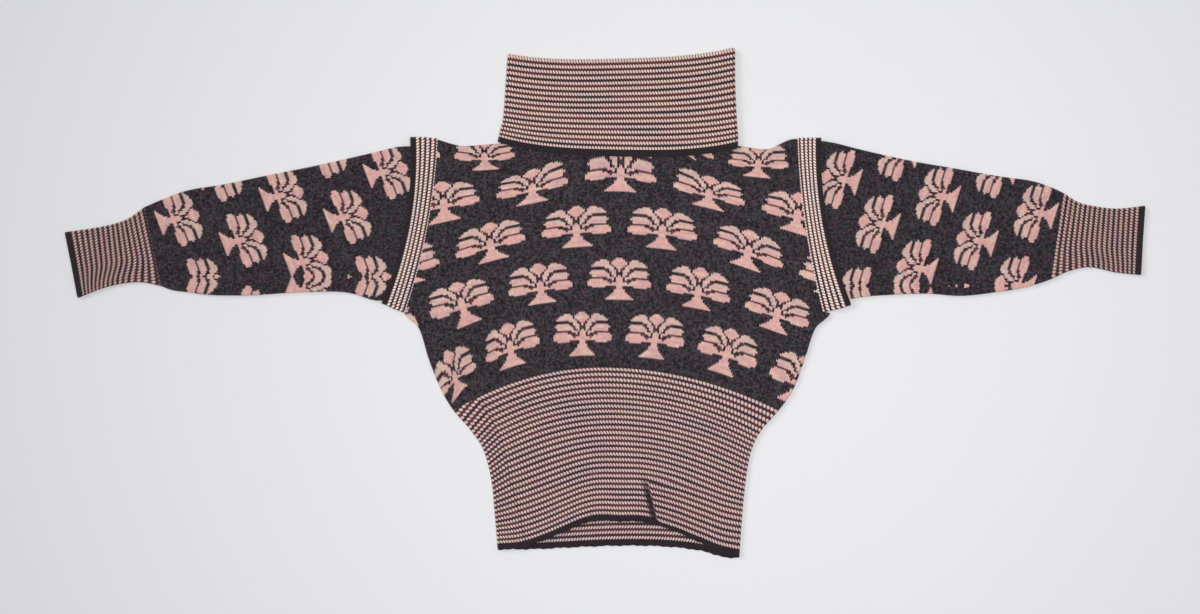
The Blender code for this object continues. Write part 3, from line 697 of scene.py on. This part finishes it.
def waistband(look):
    """The waistband's front, and its back, which wraps round the fold at -X to the seam."""
    known = np.arange(WAIST, HEM + 1)
    middle_y = np.linspace(WAIST_Y, HEM_Y, WAIST_ROWS)
    rows = rows_of([c.front_y for c in TORSO[WAIST:]], known, middle_y)
    rows[0] = WAIST + SEAM / ROW_TALL
    c = torso_rows(rows)
    turns, inward = fold_turn(LEAST_TURN, (LAYER + SIDE_PUFF) / 2)
    fold = WALL / 2 + SEAM + inward[None, :]
    left, right = c.left_x[:, None], c.right_x[:, None]
    seam = left + c.seam_in[:, None]
    stripe = ((middle_y - HEM_Y) / STRIPE)[:, None]

    def stepped(x, points):
        beyond = x - STEP_X - (points[..., 1] - STEP_Y) * STEP_SLOPE
        step = turn(beyond / STEP_SOFT + 0.5) * np.exp(-((np.maximum(beyond, 0) / STEP_WIDE) ** 2))
        return stripe + STEP_SHARE * step * turn((STEP_Y - points[..., 1]) / STEP_TALL)

    def across(from_x, to_x, count, skip):
        return from_x + (to_x - from_x) * np.linspace(0, 1, count + 1)[None, skip:]

    def layer(x, side, edge_turn):
        tall = np.repeat(rows[:, None], x.shape[1], axis=1)
        relief = stripe_relief(np.broadcast_to(stripe, x.shape), WAISTBAND_HEM)
        points, _ = torso_points(tall, x, side, np.broadcast_to(edge_turn, x.shape),
                                 math.pi / 2, WAIST_CREASES, relief)
        return points

    flat = math.pi / 2
    x = np.concatenate([across(seam + SEAM, right - fold[:, -1:], FRONT_COLUMNS, 0),
                        right - fold[:, -2::-1]], axis=1)
    turned = np.concatenate([np.full(FRONT_COLUMNS + 1, flat), turns[-2::-1]])
    points = layer(x, 1, turned)
    wales = (x - left) / (right - left) * WAIST_WALES
    stitches = np.stack([wales, stepped(x, points)], axis=-1)
    knit_sheet("waistband_front_knit", points, stitches, look, ["waistband_front"])

    x = across(right - fold[:, -1:], left + fold[:, -1:], BACK_COLUMNS, 1)
    x = np.concatenate([right - fold, x, left + fold[:, -2::-1]], axis=1)
    turned = np.concatenate([turns, np.full(BACK_COLUMNS, flat), turns[-2::-1]])
    back = layer(x, -1, turned)
    wales = WAIST_WALES * 2 - (x - left) / (right - left) * WAIST_WALES
    x_wrap = across(left + fold[:, -1:], seam - SEAM, WRAP_COLUMNS, 1)
    x_wrap = np.concatenate([left + fold, x_wrap], axis=1)
    turned = np.concatenate([turns, np.full(WRAP_COLUMNS, flat)])
    wrap = layer(x_wrap, 1, turned)
    wrap_wales = WAIST_WALES * 2 + (x_wrap - left) / (right - left) * WAIST_WALES
    steep = smooth(rows, known, WRAP_RISE)[:, None] / STRIPE * turn(stripe / WRAP_LEVEL)
    wrapped = steep * (seam - x_wrap)
    fading = steep * (seam - left) * np.exp(-(((x - left) / WRAP_FADE) ** 2))
    stitches = np.stack([np.concatenate([wales, wrap_wales], axis=1),
                         np.concatenate([stripe - 0 * x + fading, stripe + wrapped], axis=1)],
                        axis=-1)
    knit_sheet("waistband_back_knit", np.concatenate([back, wrap], axis=1), stitches, look,
               ["waistband_back"])


waistband(striped_look("waistband_knit", (215, 188, 185), (86, 53, 57), (60, 43, 47),
                       (42, 34, 38), WAISTBAND_HEM, 0.33, painted_pinch_shade=True))

# SLEEVES. Tubes of the same palm-tree knit, with the trees' tops towards the shoulder, wide
# at the armhole and gathered a little into the cuffs.
SLEEVE_HEAD = BACK + TUCK, BACK + TUCK + LAYER
SLEEVE_RIGHT = (
    Section(-265, 219, -301, 5, 13, *SLEEVE_HEAD, 0.0),
    Section(-290, 218, -323, 4, 10, BACK + 2.3, FRONT + 2.3, 0.1),
    Section(-329, 209, -364, 15, 4, BACK, FRONT + 0.6, 1.4),
    Section(-399, 193, -427, 15, 0, BACK, FRONT + 0.4, 1.6),
    Section(-469, 179, -490, 11, 0, BACK, FRONT + 0.4, 1.6),
    Section(-532, 166, -546, 11, 0, BACK, FRONT + 0.3, 1.6),
    Section(-581, 158, -583, 15, 0, BACK, FRONT + 0.3, 1.5),
    Section(-616, 146, -605, 18, 0, BACK, FRONT + 0.2, 1.2),
    Section(-644, 134, -621, 24, 0, BACK, FRONT, 1.0),
)
SLEEVE_LEFT = (
    Section(294, 227, 333, 3, -13, *SLEEVE_HEAD, 0.0),
    Section(319, 224, 357, 8, -10, BACK + 2.3, FRONT + 2.3, 0.1),
    Section(364, 213, 392, 11, -4, BACK, FRONT + 0.6, 1.4),
    Section(427, 199, 448, 13, 0, BACK, FRONT + 0.4, 1.6),
    Section(490, 188, 500, 10, 0, BACK, FRONT + 0.4, 1.6),
    Section(546, 178, 553, 16, 0, BACK, FRONT + 0.3, 1.6),
    Section(595, 171, 588, 22, 0, BACK, FRONT + 0.3, 1.5),
    Section(623, 162, 609, 28, 0, BACK, FRONT + 0.2, 1.2),
    Section(641, 154, 623, 33, 0, BACK, FRONT, 1.0),
)
SLEEVE_CREASES = (
    Crease(-330, 120, 70, 60, 12, 1.2),
    Crease(-430, 60, 14, 70, 12, 1.0),
    Crease(-520, 110, 4, 70, 12, 0.9),
    Crease(-600, 84, -6, 34, 7, 1.3),
    Crease(-604, 112, 12, 30, 6, 1.0),
    Crease(-600, 50, 8, 28, 6, 1.1),
    Crease(344, 130, -70, 56, 12, 1.2),
    Crease(440, 150, -8, 70, 13, 0.9),
    Crease(530, 70, -12, 66, 12, 1.0),
    Crease(604, 100, 8, 32, 7, 1.2),
    Crease(606, 66, -10, 28, 6, 1.0),
    Crease(600, 134, -16, 26, 6, 0.9),
)

SLEEVE_STEPS, SLEEVE_COLUMNS = 150, 72
PAST_SEAM = 0.005  # of a section
BACK_CREASE = 0.4  # how much of a ridge the back layer shares

# Where the trees lie on a sleeve: one tree's middle with its course, one wale and one course
# as steps in X and Y, and the height of the seam
Lattice = namedtuple("Lattice", "tree_x tree_y course wale_x wale_y course_x course_y seam_y")
BARE_BY_BAND, BARE_BY_CUFF = 87.2, 216.4  # courses with no trees, kept up to the seams
TREES_RIGHT = Lattice(-359, 121.4, 105, 0.959, -2.552, -2.351, -0.529, 37)
TREES_LEFT = Lattice(380.5, 111.2, 105, -0.858, -2.8, 2.211, -0.379, 24)


def over_layer(wide, edge, half, columns):
    """Distances over a flattened tube's layer, fold to fold, and how nearly flat it is there."""
    turns, inward = fold_turn(0.0, half)
    fold = edge + inward
    share = np.linspace(0, 1, columns + 1)[1:-1]
    middle = fold[-1] + (wide - 2 * fold[-1]) * share
    flat = np.concatenate([np.sin(turns), np.ones(len(share)), np.sin(turns)[::-1]])
    return np.concatenate([fold, middle, wide - fold[::-1]]), flat


def ring(section, columns, creases, relief=0.0):
    """A flattened tube's middle line, from its top fold over the front and back below it.

    The two layers are straight from the top to the low end but for the bow, and half circles
    join them. Also given: how far each point lies from the top, and its side.
    """
    top = np.array([section.top_x, section.top_y])
    low = np.array([section.low_x, section.low_y])
    long = np.linalg.norm(low - top)
    under = max(section.under, BACK)
    d, flat = over_layer(long, WALL / 2, (section.over + section.puff - under) / 2, columns)
    t = d / long
    x = top[0] + (low[0] - top[0]) * t + section.bow * 4 * t * (1 - t)
    y = top[1] + (low[1] - top[1]) * t
    to_fold = np.minimum(d, long - d)
    over = section.over + section.puff * np.exp(-((to_fold / PUFF_REACH) ** 2)) + relief
    under = under - relief
    folded = creases_at(creases, x, y) * turn(to_fold / CREASE_FADE)
    middle_z, half_z = (over + under) / 2, (over - under) / 2
    front = np.stack([x, y, middle_z + half_z * flat + folded], axis=-1)
    lifted = np.maximum(folded, 0) * BACK_CREASE
    back = np.stack([x, y, middle_z - half_z * flat + lifted], axis=-1)
    side = np.concatenate([np.ones(len(d)), -np.ones(len(d) - 2)])
    return np.concatenate([front, back[-2:0:-1]]), np.concatenate([d, d[-2:0:-1]]), side


def tube_rings(table, at, columns, creases, relief):
    """A tube's rings at fractional sections of its table, with relief a value for each."""
    c = rows_at(table, at)
    rings = [ring(Section(*values), columns, creases, r)
             for *values, r in zip(*c, np.broadcast_to(relief, at.shape))]
    return tuple(np.array(column) for column in zip(*rings))


def first_steps(table, steps):
    """Places along a tube's table, the first a little past the edge that it is sewn to."""
    at = np.linspace(0, len(table) - 1, steps + 1)
    at[0] = PAST_SEAM
    return at


def sleeve(name, table, trees, look):
    """A sleeve; its stitches lie on the lattice of its trees, and go on round the top fold.

    Below the underarm seam, which shows low on the front, they are the mirror of those above.
    """
    at = first_steps(table, SLEEVE_STEPS)
    points, d, side = tube_rings(table, at, SLEEVE_COLUMNS, SLEEVE_CREASES, 0.0)
    c = rows_at(table, at)
    top = np.stack([c.top_x, c.top_y], axis=-1)
    down = np.stack([c.low_x, c.low_y], axis=-1) - top
    down /= np.linalg.norm(down, axis=1, keepdims=True)
    fold = np.gradient(top, axis=0)
    fold /= np.linalg.norm(fold, axis=1, keepdims=True)
    fold = fold.mean(axis=0) / np.linalg.norm(fold.mean(axis=0))
    mirrored = 2 * (down @ fold)[:, None] * fold - down
    unfolded = top[:, None] + d[..., None] * mirrored[:, None]
    front = points[..., :2].copy()
    front[..., 1] = trees.seam_y + np.abs(front[..., 1] - trees.seam_y)
    place = np.where(side[..., None] > 0, front, unfolded)
    place = np.concatenate([place, (top + 0.1 * mirrored)[:, None]], axis=1)
    steps = np.array([[trees.wale_x, trees.course_x], [trees.wale_y, trees.course_y]])
    stitches = (place - (trees.tree_x, trees.tree_y)) @ np.linalg.inv(steps).T
    wale, course = np.moveaxis(stitches + (0.5, trees.course), -1, 0)
    course = np.where(wale > 0, np.maximum(course, BARE_BY_BAND), course)
    stitches = np.stack([wale, np.minimum(course, BARE_BY_CUFF)], axis=-1)
    knit_sheet(name + "_knit", points, stitches, look, [name],
               closed=True)


sleeve_knit = palm_look("sleeve_knit", trees_chart, (44, 38, 44))
sleeve("sleeve_right", SLEEVE_RIGHT, TREES_RIGHT, sleeve_knit)
sleeve("sleeve_left", SLEEVE_LEFT, TREES_LEFT, sleeve_knit)

# CUFFS. Short tubes of the striped knit sewn to the sleeves' ends, each with a charcoal edge.
CUFF_STRIPE, CUFF_EDGE, TUBE_WALE = 7.15, 1.2, 4.1
CUFF_STEPS, CUFF_COLUMNS = 72, 40
BEND_FROM = 0.6  # a bend in the stripes starts this share of the way down the layer
CUFF_RIGHT = (
    SLEEVE_RIGHT[-1],
    Section(-665, 119, -648, 29, 0, BACK, FRONT, 1.0),
    Section(-686, 111, -676, 27, 0, BACK, FRONT, 1.0),
    Section(-714, 105, -704, 20, 0, BACK, FRONT, 1.1),
    Section(-755, 99, -737, 7, 0, BACK, FRONT, 1.2),
)
CUFF_LEFT = (
    SLEEVE_LEFT[-1],
    Section(662, 141, 650, 45, 0, BACK, FRONT, 1.0),
    Section(687, 135, 679, 50, 0, BACK, FRONT, 1.0),
    Section(718, 132, 713, 43, 0, BACK, FRONT, 1.1),
    Section(754.9, 136, 749, 39, 0, BACK, FRONT, 1.2),
)


def striped_tube(name, table, steps, columns, stripe, hem, look, bend=0.0):
    """A tube whose stripes run round it, counted from its free end.

    Half way along it they lie nearer the free end towards the lower fold, by bend stripes.
    """
    at = first_steps(table, steps)
    c = rows_at(table, at)
    middle = np.stack([c.top_x + c.low_x, c.top_y + c.low_y], axis=-1) / 2
    step = np.linalg.norm(np.diff(middle, axis=0), axis=1)
    counted = np.concatenate([np.cumsum(step[::-1])[::-1], [0]]) / stripe
    points, d, side = tube_rings(table, at, columns, (), stripe_relief(counted, hem))
    wide = d.max(axis=1, keepdims=True)
    wales = np.where(side > 0, d, 2 * wide - d)
    wales = np.concatenate([wales, 2 * wide], axis=1) / wide * round(wide.mean() / TUBE_WALE)
    low = np.concatenate([d, 0 * wide], axis=1) / wide
    inside = np.clip((counted - hem) / (counted[0] - hem), 0, 1)
    bent = (bend * 4 * inside * (1 - inside))[:, None] * turn((low - BEND_FROM) / (1 - BEND_FROM))
    stitches = np.stack([wales, counted[:, None] + bent], axis=-1)
    knit_sheet(name + "_knit", points, stitches, look, [name],
               closed=True)


cuff_knit = striped_look("cuff_knit", (197, 171, 165), (86, 52, 56), (54, 40, 44),
                         (44, 36, 40), CUFF_EDGE, 0.32)
striped_tube("cuff_right", CUFF_RIGHT, CUFF_STEPS, CUFF_COLUMNS, CUFF_STRIPE, CUFF_EDGE,
             cuff_knit, bend=1.3)
striped_tube("cuff_left", CUFF_LEFT, CUFF_STEPS, CUFF_COLUMNS, CUFF_STRIPE, CUFF_EDGE,
             cuff_knit, bend=0.7)

# ARMHOLE BANDS. A raised band of striped knit round each armhole, sewn to the body; its
# charcoal outer edge stands over the sleeve's head.
BAND_STRIPE, BAND_EDGE = 6.6, 1.15
BAND_STEPS, BAND_COLUMNS = 26, 84
band_knit = striped_look("armhole_band_knit", (246, 226, 216), (84, 46, 50), (42, 33, 37),
                         (42, 34, 38), BAND_EDGE, 0.36)
for name, table in (("armhole_band_right", BAND_RIGHT), ("armhole_band_left", BAND_LEFT)):
    striped_tube(name, table, BAND_STEPS, BAND_COLUMNS, BAND_STRIPE, BAND_EDGE, band_knit)

# COLLAR. A high tube of striped knit sewn to the neck and turned down over itself, so the
# charcoal edge of the turned-down half lies over the top of the body.
COLLAR_STRIPE, COLLAR_HEM, COLLAR_WALES = 7.75, 1.3, 80
COLLAR_ROWS, COLLAR_COLUMNS, COLLAR_TURNS = 68, 112, 9
Height = namedtuple("Height", "left_x left_y right_x right_y front_y back_y")
COLLAR = (
    Height(-150, 225, 186, 217, 204.5, 226),
    Height(-147, 240, 186, 235, 224, 240),
    Height(-142, 262, 184, 262, 252, 258),
    Height(-139, 305, 182, 312, 297, 300),
    Height(-136, 348, 182, 356.8, 341, 341),
)


def collar(look):
    """The collar: an inner tube up from the neck, a fold at the top, and down to the hem.

    Each ring is the inner tube's ring moved out by 0 to LAYER, so the turned-down layer runs
    beside the inner one all round: over it in front, round it at the sides, under it behind.
    """
    top_row = len(COLLAR) - 1
    fold_radius = LAYER / 2
    angles = np.linspace(-math.pi / 2, math.pi / 2, COLLAR_TURNS)
    straight = np.linspace(0, 1, COLLAR_ROWS + 1)
    row = np.concatenate([straight * top_row, np.full(len(angles) - 2, top_row),
                          top_row * (1 - straight)])
    out = np.concatenate([0 * straight, fold_radius * (1 + np.sin(angles[1:-1])),
                          0 * straight + LAYER])
    up = np.concatenate([0 * straight, fold_radius * np.cos(angles[1:-1]), 0 * straight])
    below_top = WALL / 2 + fold_radius
    c = rows_at(COLLAR, row)
    inner = np.arange(len(row)) <= COLLAR_ROWS
    tall = (COLLAR[-1].front_y - COLLAR[0].front_y) / COLLAR_STRIPE
    outward = (c.front_y - COLLAR[0].front_y) / COLLAR_STRIPE
    over_fold = np.arange(len(row)) < COLLAR_ROWS + COLLAR_TURNS // 2 + 1
    stripe = np.where(over_fold, 2 * tall - outward, outward)
    rings, wales = [], []
    for i in range(len(row)):
        sink = 0 if inner[i] or up[i] else float(stripe_relief(stripe[i], COLLAR_HEM))
        under, over = BACK + LAYER - out[i] - sink, FRONT + LAYER + out[i] + sink
        wide = c.right_x[i] - c.left_x[i]
        d, flat = over_layer(wide, WALL / 2 + LAYER - out[i], (over - under) / 2, COLLAR_COLUMNS)
        x = c.left_x[i] + d
        arch = 1 - np.abs(2 * d / wide - 1) ** 3
        edge_y = c.left_y[i] + (c.right_y[i] - c.left_y[i]) * d / wide
        mid_y = (c.left_y[i] + c.right_y[i]) / 2
        front_y = edge_y + (c.front_y[i] - mid_y) * arch
        back_y = edge_y + (c.back_y[i] - mid_y) * arch
        if inner[i]:
            lift = straight[i]
            foot_y = line_at(SHOULDERS, x) + 2 * SEAM
            front_y = foot_y + (front_y - foot_y) * lift
            back_y = foot_y + (back_y - foot_y) * lift
            rise = -below_top * lift
        else:
            rise = up[i] - below_top * (row[i] / top_row)
        middle_z, half_z = (over + under) / 2, (over - under) / 2 * flat
        middle_y, half_y = (front_y + back_y) / 2, (front_y - back_y) / 2 * flat
        front = np.stack([x, middle_y + half_y + rise, middle_z + half_z], axis=-1)
        back = np.stack([x, middle_y - half_y + rise, middle_z - half_z], axis=-1)[-2:0:-1]
        rings.append(np.concatenate([front, back]))
        round_it = np.concatenate([d, 2 * wide - d[-2:0:-1], [2 * wide]])
        wales.append(round_it / wide * COLLAR_WALES)
    wales = np.array(wales)
    stitches = np.stack([wales, np.broadcast_to(stripe[:, None], wales.shape)], axis=-1)
    knit_sheet("collar_knit", np.array(rings), stitches, look, ["collar"],
               closed=True)


collar(striped_look("collar_knit", (227, 201, 191), (92, 53, 56), (54, 41, 43),
                    (40, 34, 38), COLLAR_HEM, 0.33))

# TABLE. The garment lies flat on a pale matt board, under a broad lamp overhead and soft light
# from the upper left, with the camera straight above.
CENTRE_X, CENTRE_Y = -0.007, -0.0056
CAMERA_HEIGHT, FRAME_WIDE, SENSOR = 3.0, 1.680, 36
BOARD = 12  # metres from its middle to an edge

mesh = bpy.data.meshes.new("table_top")
mesh.from_pydata([(-BOARD, -BOARD, 0), (BOARD, -BOARD, 0), (BOARD, BOARD, 0), (-BOARD, BOARD, 0)],
                 [], [(0, 1, 2, 3)])
table_top = add_object("table_top", mesh)
board = bpy.data.materials.new("pale_board")
board.use_nodes = True
shader = board.node_tree.nodes["Principled BSDF"]
shader.inputs["Base Color"].default_value = (0.80, 0.80, 0.815, 1)
shader.inputs["Roughness"].default_value = 0.9
mesh.materials.append(board)


def hang(lamp, direction, place=(0, 0, 0)):
    """Puts a lamp at a place, turned so that its light comes from a direction."""
    thing = add_object(lamp.name, lamp)
    thing.location = place
    x, y, z = direction
    thing.rotation_euler = (math.atan2(math.hypot(x, y), z), 0, math.atan2(y, x) + math.pi / 2)


overhead = bpy.data.lights.new("overhead", "AREA")
overhead.shape, overhead.size, overhead.energy = "DISK", 1.4, 24.2
overhead.spread = math.radians(110)
hang(overhead, (0.10, 0.03, 3.1), (0.22, 0.03, 3.1))
window = bpy.data.lights.new("window", "SUN")
window.energy, window.angle = 0.95, math.radians(24)
hang(window, (-1.0, 0.55, 0.8))
world = bpy.data.worlds.new("studio")
world.use_nodes = True
sky = world.node_tree.nodes["Background"].inputs
sky["Color"].default_value, sky["Strength"].default_value = (1, 1, 1, 1), 0.22
bpy.context.scene.world = world

lens = bpy.data.cameras.new("camera")
lens.sensor_width = SENSOR
lens.lens = SENSOR * CAMERA_HEIGHT / FRAME_WIDE
camera = add_object("camera", lens)
camera.location = (CENTRE_X, CENTRE_Y, CAMERA_HEIGHT)
bpy.context.scene.camera = camera
bpy.context.scene.view_settings.view_transform = "Standard"
